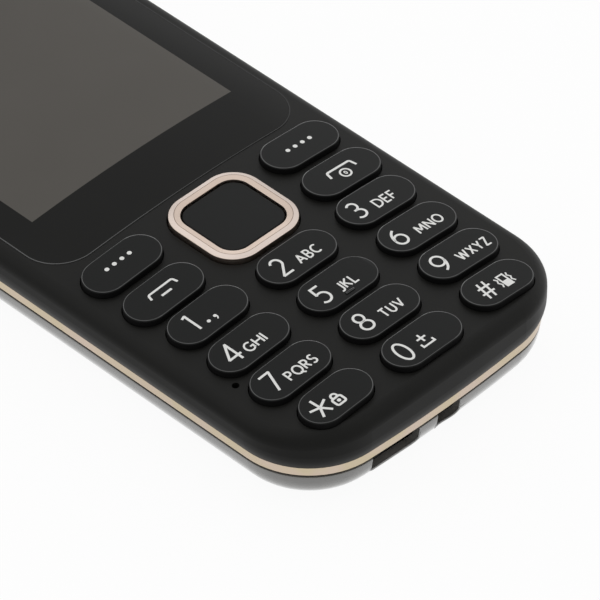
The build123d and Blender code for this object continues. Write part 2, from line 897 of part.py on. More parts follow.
def shield_can():
    """Pressed metal can on the underside of the board."""
    can = prism(rounded(can_width, can_length, can_corner, can_x, can_y), band_top - can_height, band_top)
    return one(fillet(can.faces().sort_by(Axis.Z)[0].edges(), can_corner / 3))


def card_socket(width, length, x):
    """Card socket on the underside of the board, open towards the battery."""
    low, high = bay_ends()
    start = high + bridge_width + (card_window_length - length) / 2
    body = block(width, length, band_top - socket_height, band_top, x, start + length / 2)
    slot_top = band_top - 2 * slot_wall
    slot = block(width - 8 * slot_wall, length, band_top - socket_height + slot_wall, slot_top,
                 x, start + length / 2 - 4 * slot_wall)
    window = rounded(width / 2, length / 2, slot_wall * 2, x, start + length / 2)
    return one(body - slot - prism(window, 0, slot_top))


def battery():
    """Battery pack."""
    top = bay_top() - battery_top_gap
    pack = prism(rounded(battery_width, battery_length, battery_corner - battery_corner_ease, 0, battery_y),
                 top - battery_thickness, top)
    return one(fillet(pack.faces().sort_by(Axis.Z)[0].edges(), battery_corner / 5))


def battery_contacts():
    """Contact block in the bridge above the battery, with three spring tips."""
    low, high = bay_ends()
    z = (tub_top + bay_top()) / 2
    body = block(contact_block_width, bridge_width - 2 * contact_fit, bay_top() - contact_height, bay_top(),
                 contact_x, high + bridge_width / 2)
    for index in range(contact_count):
        x = contact_x + (index - (contact_count - 1) / 2) * contact_pitch
        body += block(contact_width, contact_reach + 2 * contact_fit, z - contact_tip_height / 2,
                      z + contact_tip_height / 2, x, high - contact_reach / 2 + contact_fit)
    return one(body)


def housing_screws():
    """Six screws from the back into the bosses of the front casing."""
    screws = []
    for x, y in screw_places():
        top = screw_head_z + screw_head_height
        shank = post(screw_radius, top - screw_root, board_top + screw_reach - screw_end_gap, x, y)
        head = post(screw_head_radius, screw_head_z, top, x, y)
        head = fillet(head.edges().sort_by(Axis.Z)[0], screw_head_height / 4)
        cross = block(screw_head_radius, screw_slot, screw_head_z - 1, screw_head_z + screw_slot, x, y)
        cross += block(screw_slot, screw_head_radius, screw_head_z - 1, screw_head_z + screw_slot, x, y)
        screws.append(one(head + shank - cross))
    return Compound(children=screws)


def save(name, shape):
    """Write one piece under its name."""
    export_step(shape, "parts/" + name + ".step")


pieces = {
    "front_shell": front_shell(),
    "trim_band": trim_band(),
    "rear_housing": rear_housing(),
    "battery_cover": battery_cover(),
    "display_lens": display_lens(),
    "lens_tape": lens_tape(),
    "display_gasket": display_gasket(),
    "lcd_panel": lcd_panel(),
    "backlight_unit": backlight_unit(),
    "circuit_board": circuit_board(),
    "dome_sheet": pierced_sheet(board_top, film_top),
    "keypad_mat": pierced_sheet(film_top, mat_top),
    "key_domes": key_domes(),
    "nav_ring": nav_ring(),
    "nav_web": nav_web(),
    "ok_key": ok_key(),
    "earpiece": earpiece(),
    "earpiece_mesh": earpiece_mesh(),
    "loudspeaker": loudspeaker(),
    "speaker_mesh": speaker_mesh(),
    "microphone": microphone(),
    "microphone_boot": microphone_boot(),
    "vibration_motor": vibration_motor(),
    "vibration_weight": vibration_weight(),
    "port_board": port_board(),
    "usb_socket": usb_socket(),
    "audio_jack": audio_jack(),
    "camera_module": camera_module(),
    "camera_window": camera_window(),
    "torch_led": torch_led(),
    "torch_lens": torch_lens(),
    "antenna": antenna(),
    "shield_can": shield_can(),
    "sim_socket_1": card_socket(sim_socket_width, sim_socket_length,
                                -memory_socket_width / 2 - card_gap - sim_socket_width / 2),
    "sim_socket_2": card_socket(sim_socket_width, sim_socket_length,
                                memory_socket_width / 2 + card_gap + sim_socket_width / 2),
    "memory_card_socket": card_socket(memory_socket_width, memory_socket_length, 0),
    "battery": battery(),
    "battery_contacts": battery_contacts(),
    "housing_screws": housing_screws(),
}
for key_name, key_x, key_y, cap_length in key_places():
    pieces[key_name] = keycap(key_name, key_x, key_y, cap_length)
for piece_name, piece in pieces.items():
    save(piece_name, piece)
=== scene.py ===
import bpy
import json
from math import cos, degrees, radians, sin, sqrt
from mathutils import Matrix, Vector

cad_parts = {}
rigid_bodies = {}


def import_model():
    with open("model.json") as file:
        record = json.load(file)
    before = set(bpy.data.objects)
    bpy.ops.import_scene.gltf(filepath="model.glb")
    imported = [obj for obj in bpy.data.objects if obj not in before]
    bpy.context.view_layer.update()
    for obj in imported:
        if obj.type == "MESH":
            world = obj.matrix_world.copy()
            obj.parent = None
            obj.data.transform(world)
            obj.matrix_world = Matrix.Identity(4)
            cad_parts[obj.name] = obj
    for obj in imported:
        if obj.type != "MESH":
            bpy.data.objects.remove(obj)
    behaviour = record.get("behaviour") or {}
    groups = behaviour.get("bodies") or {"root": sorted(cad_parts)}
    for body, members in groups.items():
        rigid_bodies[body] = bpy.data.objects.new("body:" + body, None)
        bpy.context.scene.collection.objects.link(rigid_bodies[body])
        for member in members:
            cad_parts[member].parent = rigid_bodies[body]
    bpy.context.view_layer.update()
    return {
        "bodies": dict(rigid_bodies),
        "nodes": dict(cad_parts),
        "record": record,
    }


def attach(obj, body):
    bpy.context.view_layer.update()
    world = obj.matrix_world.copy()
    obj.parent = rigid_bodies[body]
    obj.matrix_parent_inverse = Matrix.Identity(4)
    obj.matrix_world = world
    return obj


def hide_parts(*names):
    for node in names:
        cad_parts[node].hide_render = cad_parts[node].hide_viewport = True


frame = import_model()
mm = 0.001


class Wire:
    # an output of a node: arithmetic on it adds Math nodes
    def __init__(self, paint, socket):
        self.paint = paint
        self.socket = socket

    def math(self, operation, first, second=0.0):
        return self.paint.add("ShaderNodeMath", {"operation": operation}, {0: first, 1: second})

    def __add__(self, other):
        return self.math("ADD", self, other)

    def __radd__(self, other):
        return self.math("ADD", other, self)

    def __sub__(self, other):
        return self.math("SUBTRACT", self, other)

    def __rsub__(self, other):
        return self.math("SUBTRACT", other, self)

    def __mul__(self, other):
        return self.math("MULTIPLY", self, other)

    def __rmul__(self, other):
        return self.math("MULTIPLY", other, self)

    def __abs__(self):
        return self.math("ABSOLUTE", self)

    def larger(self, other):
        return self.math("MAXIMUM", self, other)

    def smaller(self, other):
        return self.math("MINIMUM", self, other)

    def folded(self, span):
        # to and fro between 0 and span
        return self.math("PINGPONG", self, span)

    def clamped(self):
        return self.paint.add("ShaderNodeClamp", {}, {0: self, 1: 0.0, 2: 1.0})

    def stepped(self, start, end):
        # 0 at start, 1 at end, straight between
        return ((self - start) * (1 / (end - start))).clamped()


class Paint:
    # the nodes of one material, or of the world
    def __init__(self, name, holder=None):
        self.owner = holder or bpy.data.materials.new(name)
        self.owner.use_nodes = True
        self.nodes = self.owner.node_tree.nodes
        self.links = self.owner.node_tree.links
        self.nodes.clear()
        self.place = self.add("ShaderNodeTexCoord", output="Object")

    def add(self, kind, settings=None, inputs=None, output=0):
        node = self.nodes.new(kind)
        for key, value in (settings or {}).items():
            setattr(node, key, value)
        for key, value in (inputs or {}).items():
            if isinstance(value, Wire):
                self.links.new(value.socket, node.inputs[key])
            else:
                node.inputs[key].default_value = value
        return Wire(self, node.outputs[output])

    def axes(self, vector=None):
        # the three parts of a vector, by default of the place on the piece
        split = self.add("ShaderNodeSeparateXYZ", {}, {0: vector or self.place})
        return [Wire(self, part) for part in split.socket.node.outputs]

    def slope(self):
        # 1 where the surface faces up, 0 on a wall, -1 underneath
        return self.axes(self.add("ShaderNodeTexCoord", output="Normal"))[2]

    def noise(self, size, detail=3.0, stretch=(1.0, 1.0, 1.0)):
        # size is the width of a speck in metres
        spot = self.add("ShaderNodeMapping", {}, {0: self.place, 3: stretch})
        return self.add("ShaderNodeTexNoise", {}, {"Vector": spot, "Scale": 1 / size, "Detail": detail})

    def mix(self, low, high, factor):
        return self.add("ShaderNodeMix", {"data_type": "RGBA"}, {0: factor, 6: low, 7: high}, 2)

    def grain(self, height, depth, strength):
        return self.add("ShaderNodeBump", {}, {"Height": height, "Distance": depth, "Strength": strength})

    def surface(self, **look):
        inputs = {key.replace("_", " "): value for key, value in look.items()}
        return self.finished(self.add("ShaderNodeBsdfPrincipled", {}, inputs))

    def finished(self, shader, kind="ShaderNodeOutputMaterial"):
        output = self.nodes.new(kind)
        self.links.new(shader.socket, output.inputs[0])
        return self.owner


def tint(red, green, blue):
    return (red, green, blue, 1.0)


def grey(level):
    return tint(level, level, level)


# common finishes: size of the clouds and their share in the tone, spread of the roughness, depth of the grain
mouldingLook = {"cloud": 9 * mm, "share": 0.75, "spread": 0.08, "bump": 0.5, "coatRough": 0.05}
platingLook = {"cloud": 5 * mm, "share": 0.7, "spread": 0.06, "speck": 0.3 * mm, "depth": 0.002 * mm,
               "bump": 0.35}
steelLook = {"line": 0.5 * mm, "spread": 0.15, "middle": 0.07, "depth": 0.004 * mm, "bump": 0.4}


def moulding(name, dark, light, rough, gloss, speck=0.25 * mm, depth=0.006 * mm, coat=0.0):
    # moulded plastic: slow change of tone, fine matt grain
    paint = Paint(name)
    share = mouldingLook["share"]
    cloud = paint.noise(mouldingLook["cloud"], 2.0)
    speckle = paint.noise(speck, 2.0)
    tone = paint.mix(dark, light, cloud * share + speckle * (1 - share))
    shine = cloud * mouldingLook["spread"] + (rough - mouldingLook["spread"] / 2)
    return paint.surface(Base_Color=tone, Roughness=shine, Specular_IOR_Level=gloss, Coat_Weight=coat,
                         Coat_Roughness=mouldingLook["coatRough"],
                         Normal=paint.grain(speckle, depth, mouldingLook["bump"]))


def plating(name, dark, light, rough):
    # satin vacuum plating
    paint = Paint(name)
    share = platingLook["share"]
    cloud = paint.noise(platingLook["cloud"], 2.0)
    speckle = paint.noise(platingLook["speck"], 2.0)
    tone = paint.mix(dark, light, cloud * share + speckle * (1 - share))
    shine = speckle * platingLook["spread"] + (rough - platingLook["spread"] / 2)
    return paint.surface(Base_Color=tone, Metallic=1.0, Roughness=shine,
                         Normal=paint.grain(speckle, platingLook["depth"], platingLook["bump"]))


def pressedSteel(name, dark, light, rough, stretch=(1.0, 14.0, 1.0)):
    # rolled sheet: fine lines along one way
    paint = Paint(name)
    lines = paint.noise(steelLook["line"], 3.0, stretch)
    tone = paint.mix(dark, light, lines)
    shine = lines * steelLook["spread"] + (rough - steelLook["middle"])
    return paint.surface(Base_Color=tone, Metallic=1.0, Roughness=shine,
                         Normal=paint.grain(lines, steelLook["depth"], steelLook["bump"]))


print("shader helpers ready")

# camera, worked out from the keypad, the ring and the trim band
camera = {"spot": (-0.41486, -0.44856, 0.54698), "turn": (47.430, 0.409, -45.255), "lens": 364.43,
          "sensor": 36.0}
bpy.ops.object.select_all(action="DESELECT")
bpy.ops.object.camera_add(location=camera["spot"], rotation=[radians(angle) for angle in camera["turn"]])
viewer = bpy.context.object
viewer.data.lens = camera["lens"]
viewer.data.sensor_width = camera["sensor"]
bpy.context.scene.camera = viewer
bpy.context.scene.view_settings.view_transform = "Standard"

# studio: white floor a hair below the phone, soft light from above; a lamp has its place, size and power
studio = {"world": 0.60, "floor": 0.94, "floorWhite": 0.94, "floorSize": 6.0, "floorGap": 0.05 * mm,
          "floorCloud": 0.4, "floorShade": 0.99,
          "lamps": [((-0.5, 0.9, 1.5), 2.4, 8.0), ((1.2, -0.4, 1.1), 2.4, 5.0),
                    ((1.13, 1.22, 0.67), 0.7, 1.2)]}


def shown(paint):
    # 1 for what the camera, a reflection or clear plastic shows, 0 for light that falls on the object
    kinds = ("Is Camera Ray", "Is Glossy Ray", "Is Transmission Ray")
    seen, glossy, through = [paint.add("ShaderNodeLightPath", output=kind) for kind in kinds]
    return seen.larger(glossy).larger(through)


def lightStudio():
    world = bpy.data.worlds.new("studio")
    bpy.context.scene.world = world
    paint = Paint("studio", world)
    dim = paint.add("ShaderNodeBackground", {}, {"Color": grey(1.0), "Strength": studio["world"]})
    white = paint.add("ShaderNodeBackground", {}, {"Color": grey(1.0), "Strength": 1.0})
    paint.finished(paint.add("ShaderNodeMixShader", {}, {0: shown(paint), 1: dim, 2: white}),
                   "ShaderNodeOutputWorld")
    for spot, size, power in studio["lamps"]:
        bpy.ops.object.light_add(type="AREA", location=spot)
        lamp = bpy.context.object
        lamp.data.size = size
        lamp.data.energy = power
        lamp.rotation_euler = Vector(spot).to_track_quat("Z", "Y").to_euler()


def layFloor():
    bpy.ops.mesh.primitive_plane_add(size=studio["floorSize"], location=(0, 0, -studio["floorGap"]))
    floor = bpy.context.object
    floor.name = "studioFloor"
    paint = Paint("studioWhite")
    level = studio["floor"]
    cloud = paint.noise(studio["floorCloud"], 1.0)
    tone = paint.mix(grey(level), grey(level * studio["floorShade"]), cloud)
    matt = paint.add("ShaderNodeBsdfDiffuse", {}, {"Color": tone})
    glow = paint.add("ShaderNodeEmission", {}, {"Color": grey(1.0), "Strength": 1.0})
    share = shown(paint) * studio["floorWhite"]
    shader = paint.add("ShaderNodeMixShader", {}, {0: share, 1: matt, 2: glow})
    floor.data.materials.append(paint.finished(shader))


lightStudio()
layFloor()
print("camera and studio ready")

# finishes of the CAD nodes, by material slot
finishes = {
    "shell_black": moulding("shellBlack", tint(.0042, .0042, .0036), tint(.0062, .0062, .0054), 0.42, 0.12),
    "housing_black": moulding("housingBlack", grey(.003), grey(.006), 0.6, 0.12),
    # the cover's mid-grey base is painted reflection of the white surroundings on a dark glossy cover
    "cover_gloss": moulding("coverGloss", tint(.15, .147, .141), tint(.175, .171, .163), 0.16, 0.5,
                            0.8 * mm, 0.0005 * mm, 1.0),
    "mask_black": moulding("maskBlack", grey(.006), grey(.01), 0.6, 0.3),
    "display_grey": moulding("panelGrey", tint(.07, .068, .06), tint(.085, .08, .074), 0.15, 0.5),
    "frame_white": moulding("frameWhite", tint(.7, .7, .68), tint(.78, .78, .76), 0.5, 0.5),
    "film_clear": moulding("filmClear", grey(.55), grey(.62), 0.25, 0.5),
    "mat_silicone": moulding("matSilicone", grey(.38), grey(.45), 0.6, 0.4),
    "rubber_black": moulding("rubberBlack", grey(.015), grey(.022), 0.8, 0.3),
    "dome_steel": pressedSteel("domeSteel", tint(.55, .55, .54), tint(.7, .7, .69), 0.3),
    "speaker_black": moulding("speakerBlack", grey(.01), grey(.016), 0.5, 0.5),
    "mesh_steel": pressedSteel("meshSteel", grey(.05), grey(.2), 0.45, (1.0, 1.0, 1.0)),
    "socket_steel": pressedSteel("socketSteel", tint(.5, .5, .49), tint(.66, .66, .65), 0.32),
    "weight_steel": pressedSteel("weightSteel", grey(.3), grey(.42), 0.5, (1.0, 1.0, 1.0)),
    "screw_steel": pressedSteel("screwSteel", grey(.12), grey(.2), 0.4, (1.0, 1.0, 1.0)),
    "led_white": moulding("ledWhite", tint(.75, .7, .35), tint(.82, .8, .6), 0.4, 0.5),
    "contact_brass": plating("contactBrass", tint(.75, .5, .18), tint(.85, .62, .28), 0.28),
    "legend": moulding("legendWhite", tint(.80, .80, .78), tint(.86, .86, .84), 0.5, 0.2),
}

# the slopes are heights of the normal between which the wall, the rounded edge and the flat top begin
# the wall's grey is darker than the cap's: painted shade
keyLook = {"dark": tint(.0032, .0036, .0034), "light": tint(.0048, .0053, .0050), "wall": grey(.0012),
           "rim": grey(.002), "wallSlope": (0.05, 0.82), "rimSlope": (0.82, 0.92),
           "topSlope": (0.983, 0.991), "speck": 0.25 * mm, "cloud": 9 * mm, "share": 0.7, "rough": 0.38,
           "wallRough": 0.4, "rimRough": 0.1, "coatRough": 0.08, "depth": 0.005 * mm, "bump": 0.4}


def keyBlack(name, shine):
    # matt cap with a glossy rounded edge, and a dull wall painted darker as the shade of the well round the
    # key
    paint = Paint(name)
    slope = paint.slope()
    rim = slope.stepped(*keyLook["rimSlope"]) * (1.0 - slope.stepped(*keyLook["topSlope"]))
    wall = 1.0 - slope.stepped(*keyLook["wallSlope"])
    speckle = paint.noise(keyLook["speck"], 2.0)
    cloud = paint.noise(keyLook["cloud"], 2.0)
    share = keyLook["share"]
    tone = paint.mix(keyLook["dark"], keyLook["light"], cloud * share + speckle * (1 - share))
    # painted shade: the wall is given a darker grey than the cap
    tone = paint.mix(paint.mix(tone, keyLook["wall"], wall), keyLook["rim"], rim)
    rough = wall * keyLook["wallRough"] + keyLook["rough"] - rim * keyLook["rimRough"]
    return paint.surface(Base_Color=tone, Roughness=rough, Specular_IOR_Level=0.12, Coat_Weight=rim * shine,
                         Coat_Roughness=keyLook["coatRough"], Coat_IOR=1.6,
                         Normal=paint.grain(speckle, keyLook["depth"], keyLook["bump"]))


# the bevel colour is a painted highlight on the band's lower edge
bandLook = {"pink": tint(.61, .50, .41), "straw": tint(.59, .50, .355), "bevel": tint(.90, .80, .68),
            "bevelSlope": (-0.45, -0.25), "blotch": 4 * mm, "blotchEdge": (0.35, 0.65), "speck": 0.2 * mm,
            "rough": 0.28, "spread": 0.06, "depth": 0.002 * mm, "bump": 0.3}


def trimGold():
    # satin gold that wanders between pink and straw; the bevel along its lower edge is painted paler, a
    # painted highlight
    paint = Paint("trimGold")
    # painted highlight: faces that look down are given a paler gold
    bevel = 1.0 - paint.slope().stepped(*bandLook["bevelSlope"])
    cloud = paint.noise(bandLook["blotch"], 1.0).stepped(*bandLook["blotchEdge"])
    speckle = paint.noise(bandLook["speck"], 2.0)
    tone = paint.mix(bandLook["pink"], bandLook["straw"], cloud)
    tone = paint.mix(tone, bandLook["bevel"], bevel)
    shine = speckle * bandLook["spread"] + bandLook["rough"]
    return paint.surface(Base_Color=tone, Metallic=1.0, Roughness=shine,
                         Normal=paint.grain(speckle, bandLook["depth"], bandLook["bump"]))


boardLook = {"pitch": 1.27 * mm, "wander": 7 * mm, "sway": 6 * mm, "gap": (0.22, 0.30), "cloud": 5 * mm,
             "mask": (tint(.006, .05, .02), tint(.01, .085, .035)), "copper": tint(.015, .12, .05),
             "rough": 0.3, "spread": 0.1, "depth": 0.03 * mm, "bump": 0.6}


def boardGreen():
    # solder resist over copper tracks
    paint = Paint("boardGreen")
    x = paint.axes()[0]
    wander = paint.noise(boardLook["wander"], 1.0)
    ways = (x + wander * boardLook["sway"]) * (1 / boardLook["pitch"])
    track = ways.folded(0.5).stepped(*boardLook["gap"])
    tone = paint.mix(*boardLook["mask"], paint.noise(boardLook["cloud"]))
    tone = paint.mix(tone, boardLook["copper"], track)
    return paint.surface(Base_Color=tone, Roughness=track * boardLook["spread"] + boardLook["rough"],
                         Normal=paint.grain(track, boardLook["depth"], boardLook["bump"]))


batteryLook = {"middle": -12.6 * mm, "halfX": 14 * mm, "halfY": 22 * mm, "line": 0.35 * mm,
               "lineInset": 1.2 * mm, "stripe": 8 * mm, "stripeInset": 3 * mm, "edge": 0.05 * mm,
               "cloud": 6 * mm, "skin": (tint(.035, .036, .04), tint(.05, .052, .056)),
               "label": (grey(.42), grey(.50)),
               "rough": 0.3, "spread": 0.1, "labelRough": 0.15, "depth": 0.02 * mm, "bump": 0.4}


def batterySkin():
    # dark shrink wrap with a pale label: a thin frame and a dark stripe at each end, no text
    paint = Paint("batterySkin")
    x, y = paint.axes()[:2]
    cloud = paint.noise(batteryLook["cloud"], 2.0)
    edge = batteryLook["edge"]
    skin = paint.mix(*batteryLook["skin"], cloud)
    label = paint.mix(*batteryLook["label"], cloud)
    acrossX = batteryLook["halfX"] - abs(x)
    acrossY = batteryLook["halfY"] - abs(y - batteryLook["middle"])
    inward = acrossX.smaller(acrossY)
    onLabel = inward.stepped(0.0, edge)
    pastLine = inward - batteryLook["lineInset"]
    frameLine = pastLine.stepped(0.0, edge) * (batteryLook["line"] - pastLine).stepped(0.0, edge)
    stripe = (batteryLook["stripe"] - acrossY).stepped(0.0, edge)
    stripe = stripe * (inward - batteryLook["stripeInset"]).stepped(0.0, edge)
    tone = paint.mix(skin, label, onLabel * (1.0 - frameLine) * (1.0 - stripe))
    shine = cloud * batteryLook["spread"] + batteryLook["rough"] + onLabel * batteryLook["labelRough"]
    return paint.surface(Base_Color=tone, Roughness=shine, Specular_IOR_Level=0.5,
                         Normal=paint.grain(cloud, batteryLook["depth"], batteryLook["bump"]))


windowLook = {"half": 18.5 * mm, "low": -0.6 * mm, "high": 47.66 * mm, "edge": 0.04 * mm, "cloud": 12 * mm,
              "rough": 0.10, "spread": 0.05, "mask": (tint(.0040, .0040, .0035), tint(.0054, .0054, .0047)),
              "unlit": (tint(.088, .082, .073), tint(.097, .090, .081))}


def lensPrinted():
    # clear window, printed black from behind round the unlit display
    paint = Paint("lensPrinted")
    x, y = paint.axes()[:2]
    edge = windowLook["edge"]
    inside = (windowLook["half"] - abs(x)).stepped(0.0, edge)
    inside = inside * (y - windowLook["low"]).stepped(0.0, edge)
    inside = inside * (windowLook["high"] - y).stepped(0.0, edge)
    cloud = paint.noise(windowLook["cloud"], 2.0)
    tone = paint.mix(paint.mix(*windowLook["mask"], cloud), paint.mix(*windowLook["unlit"], cloud), inside)
    return paint.surface(Base_Color=tone, Roughness=cloud * windowLook["spread"] + windowLook["rough"],
                         Specular_IOR_Level=0.12)


glassLook = {"dark": tint(.01, .011, .016), "light": tint(.018, .018, .03), "cloud": 3 * mm, "rough": 0.04,
             "spread": 0.04}


def lensDark():
    # small dark window with a coated glint
    paint = Paint("lensDark")
    cloud = paint.noise(glassLook["cloud"], 1.0)
    tone = paint.mix(glassLook["dark"], glassLook["light"], cloud)
    return paint.surface(Base_Color=tone, Roughness=cloud * glassLook["spread"] + glassLook["rough"],
                         Coat_Weight=1.0)


finishes["key_black"] = keyBlack("keyBlack", 1.0)
finishes["trim_gold"] = trimGold()
finishes["board_green"] = boardGreen()
finishes["battery_skin"] = batterySkin()
finishes["camera_trim"] = plating("cameraTrim", tint(.20, .20, .19), tint(.28, .28, .27), 0.25)
finishes["ring_gold"] = plating("ringGold", tint(.46, .375, .32), tint(.54, .445, .38), 0.34)
# the paler bevel gold is a painted highlight, the dark groove gold is painted shade
finishes["ring_bevel_highlight"] = plating("ringBevelHighlight", tint(.51, .435, .39), tint(.59, .51, .46), 0.40)
finishes["ring_groove_shade"] = plating("ringGrooveShade", tint(.24, .175, .14), tint(.30, .225, .18), 0.45)
nodeFinishes = {"display_lens": lensPrinted(), "camera_window": lensDark(),
                "torch_lens": moulding("torchClear", tint(.55, .55, .52), tint(.62, .62, .6), 0.12, 0.6),
                "ok_key": keyBlack("okBlack", 0.0),
                "usb_socket": pressedSteel("portSteel", grey(.03), grey(.06), 0.45)}


def paintNodes():
    for part in frame["record"]["subparts"]:
        body = frame["nodes"][part["node"]]
        finish = nodeFinishes.get(part["node"]) or finishes[part["material_slot"]]
        body.data.materials.clear()
        body.data.materials.append(finish)


paintNodes()
print("CAD nodes painted")

# how far up or down a flat face's normal points, welding distances, and angles of smooth shading in degrees
modelling = {"flat": 0.9, "weldCopy": 0.002 * mm, "weldRing": 0.004 * mm}
smoothing = {"ring": 20, "bead": 30, "cameraTrim": 35, "cap": 25, "mark": 30, "lip": 40}


def startPiece(name):
    # the object that the last operator made, in edit mode with all of it selected
    piece = bpy.context.object
    piece.name = name
    bpy.ops.object.mode_set(mode="EDIT")
    bpy.ops.mesh.select_all(action="SELECT")
    return piece


def endPiece(piece, body, slotName, *finishNames):
    # out of edit mode, place applied, finish given
    bpy.ops.object.mode_set(mode="OBJECT")
    bpy.ops.object.transform_apply(location=True, rotation=True, scale=True)
    for finish in finishNames:
        piece.data.materials.append(finishes[finish])
    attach(piece, body)


def smooth(kind):
    # out of edit mode, shaded smooth but for the edges that are sharper than the piece's angle
    bpy.ops.object.mode_set(mode="OBJECT")
    bpy.ops.object.shade_smooth_by_angle(angle=radians(smoothing[kind]))


def closeUp():
    # all selected, its faces turned outward
    bpy.ops.mesh.select_all(action="SELECT")
    bpy.ops.mesh.normals_make_consistent(inside=False)


def rise(height):
    # extrudes the selected face straight up, in millimetres
    bpy.ops.mesh.extrude_region_move(TRANSFORM_OT_translate={"value": (0, 0, height * mm)})


def step(inward, upward):
    # insets the selected face and lifts it, in millimetres
    bpy.ops.mesh.inset(thickness=inward * mm, use_even_offset=True)
    if upward:
        bpy.ops.transform.translate(value=(0, 0, upward * mm))


def selectWhere(piece, test, kind="FACE"):
    # in edit mode: selects the faces or vertices that pass the test on their place and normal
    bpy.ops.object.mode_set(mode="OBJECT")
    mesh = piece.data
    for group in (mesh.vertices, mesh.edges, mesh.polygons):
        for item in group:
            item.select = False
    if kind == "VERT":
        for vertex in mesh.vertices:
            vertex.select = test(vertex.co, vertex.normal)
    else:
        for face in mesh.polygons:
            face.select = test(face.center, face.normal)
    bpy.ops.object.mode_set(mode="EDIT")
    bpy.ops.mesh.select_mode(type=kind)


def meshFromNode(node, name):
    # a merged copy of a CAD node's mesh, as an object of its own
    bpy.ops.object.select_all(action="DESELECT")
    piece = bpy.data.objects.new(name, frame["nodes"][node].data.copy())
    piece.data.materials.clear()
    bpy.context.collection.objects.link(piece)
    bpy.context.view_layer.objects.active = piece
    piece.select_set(True)
    startPiece(name)
    bpy.ops.mesh.remove_doubles(threshold=modelling["weldCopy"])
    return piece


# crowned face of the phone: height over the floor at a distance from the centre line, in millimetres
crown = {"radius": 240.0, "faceTop": 13.55, "keyProud": 0.9}


def faceHeight(x, proud=0.0):
    return crown["faceTop"] - crown["radius"] + sqrt((crown["radius"] + proud) ** 2 - x ** 2)


# four-way ring: satin top inside, bevel outside painted paler as a highlight, fine groove between painted
# darker as shade
ring = {"y": -19.7, "half": 7.38, "corner": 4.37, "flangeReach": 0.5, "bottom": 10.6, "flangeTop": 11.1,
        "top": 14.5, "width": 1.6, "edge": 0.04, "dish": 0.12, "bevelWidth": 0.72, "bevelDrop": 0.2,
        "bevelSlope": (0.85, 0.985), "groove": 0.04, "grooveFrom": 0.16, "grooveSlope": 0.8,
        "footOffset": 5.5, "footRadius": 1.3, "footBottom": 8.35, "footTop": 10.25,
        "heelX": 6.2, "heelSize": 0.7, "heelTop": 10.8}


def buildRing():
    half = ring["half"] + ring["flangeReach"]
    bpy.ops.object.select_all(action="DESELECT")
    bpy.ops.mesh.primitive_plane_add(size=2 * half * mm, location=(0, ring["y"] * mm, ring["bottom"] * mm))
    piece = startPiece("nav_ring_gold")
    bpy.ops.mesh.bevel(offset=(ring["corner"] + ring["flangeReach"]) * mm, segments=20, affect="VERTICES")
    rise(ring["flangeTop"] - ring["bottom"])
    step(ring["flangeReach"], 0.0)
    rise(ring["top"] - ring["bevelDrop"] - ring["flangeTop"] - ring["edge"])
    step(ring["edge"], ring["edge"])
    step(ring["bevelWidth"] - ring["edge"], ring["bevelDrop"])
    step(ring["groove"], -ring["groove"])
    step(ring["groove"], ring["groove"])
    step(ring["width"] - ring["bevelWidth"] - 2 * ring["groove"] - ring["edge"], -ring["dish"])
    step(ring["edge"], -ring["edge"])
    rise(ring["bottom"] - ring["top"] + ring["edge"] + ring["dish"])
    bpy.ops.mesh.delete(type="FACE")
    under = (ring["bottom"] + ring["edge"]) * mm
    selectWhere(piece, lambda center, normal: normal.z < -modelling["flat"] and center.z < under)
    bpy.ops.mesh.inset(thickness=(ring["flangeReach"] + ring["width"]) * mm, use_even_offset=True)
    bpy.ops.mesh.delete(type="FACE")
    bpy.ops.mesh.select_all(action="SELECT")
    bpy.ops.mesh.remove_doubles(threshold=modelling["weldRing"])
    deep = ring["footTop"] - ring["footBottom"]
    for side in (-1, 1):
        # a foot low enough for the centre key to pass, and its heel up to the flange
        bpy.ops.mesh.select_all(action="DESELECT")
        bpy.ops.mesh.primitive_cylinder_add(radius=ring["footRadius"] * mm, depth=deep * mm, vertices=32,
                                            location=(side * ring["footOffset"] * mm, ring["y"] * mm,
                                                      (ring["footBottom"] + deep / 2) * mm))
        bpy.ops.mesh.primitive_cube_add(size=ring["heelSize"] * mm, scale=(1, 2, 1),
                                        location=(side * ring["heelX"] * mm, ring["y"] * mm,
                                                  (ring["heelTop"] - ring["heelSize"] / 2) * mm))
    closeUp()
    bpy.ops.object.mode_set(mode="OBJECT")
    bpy.ops.object.transform_apply(location=True, rotation=True, scale=True)
    for vertex in piece.data.vertices:
        vertex.co.z -= crown["radius"] * mm - sqrt((crown["radius"] * mm) ** 2 - vertex.co.x ** 2)
    smooth("ring")
    endPiece(piece, "nav_ring", "ring_gold", "ring_gold", "ring_bevel_highlight", "ring_groove_shade")
    grooveAt = (ring["top"] - ring["grooveFrom"]) * mm
    bevelAt = grooveAt - ring["bevelDrop"] * mm
    steep, flat = ring["bevelSlope"]
    # groove faces get the painted shade, outer bevel faces the painted highlight
    for face in piece.data.polygons:
        outward = face.center.x * face.normal.x + (face.center.y - ring["y"] * mm) * face.normal.y > 0
        if face.center.z > grooveAt and face.normal.z < ring["grooveSlope"]:
            face.material_index = 2
        if outward and face.center.z > bevelAt and steep < face.normal.z < flat:
            face.material_index = 1
    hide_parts("nav_ring")


buildRing()
print("navigation ring built")

# fine bead round the display lens, with a painted highlight pale at the left
bead = {"halfX": 23.2, "halfY": 33.665, "middleY": 23.165, "corner": 6.0, "topCorner": 10.0, "outer": 0.12,
        "inner": 0.02, "top": 0.06, "bottom": 0.3, "cuts": range(-20, 21, 2), "cornerReach": 1.0,
        "archHalf": 13.2, "archRise": 0.37, "archReach": 0.5,
        "look": (grey(.10), grey(.006)), "fade": (-26 * mm, 14 * mm), "highlightPatch": 2 * mm, "highlightPatchShare": 0.25,
        "rough": 0.25}


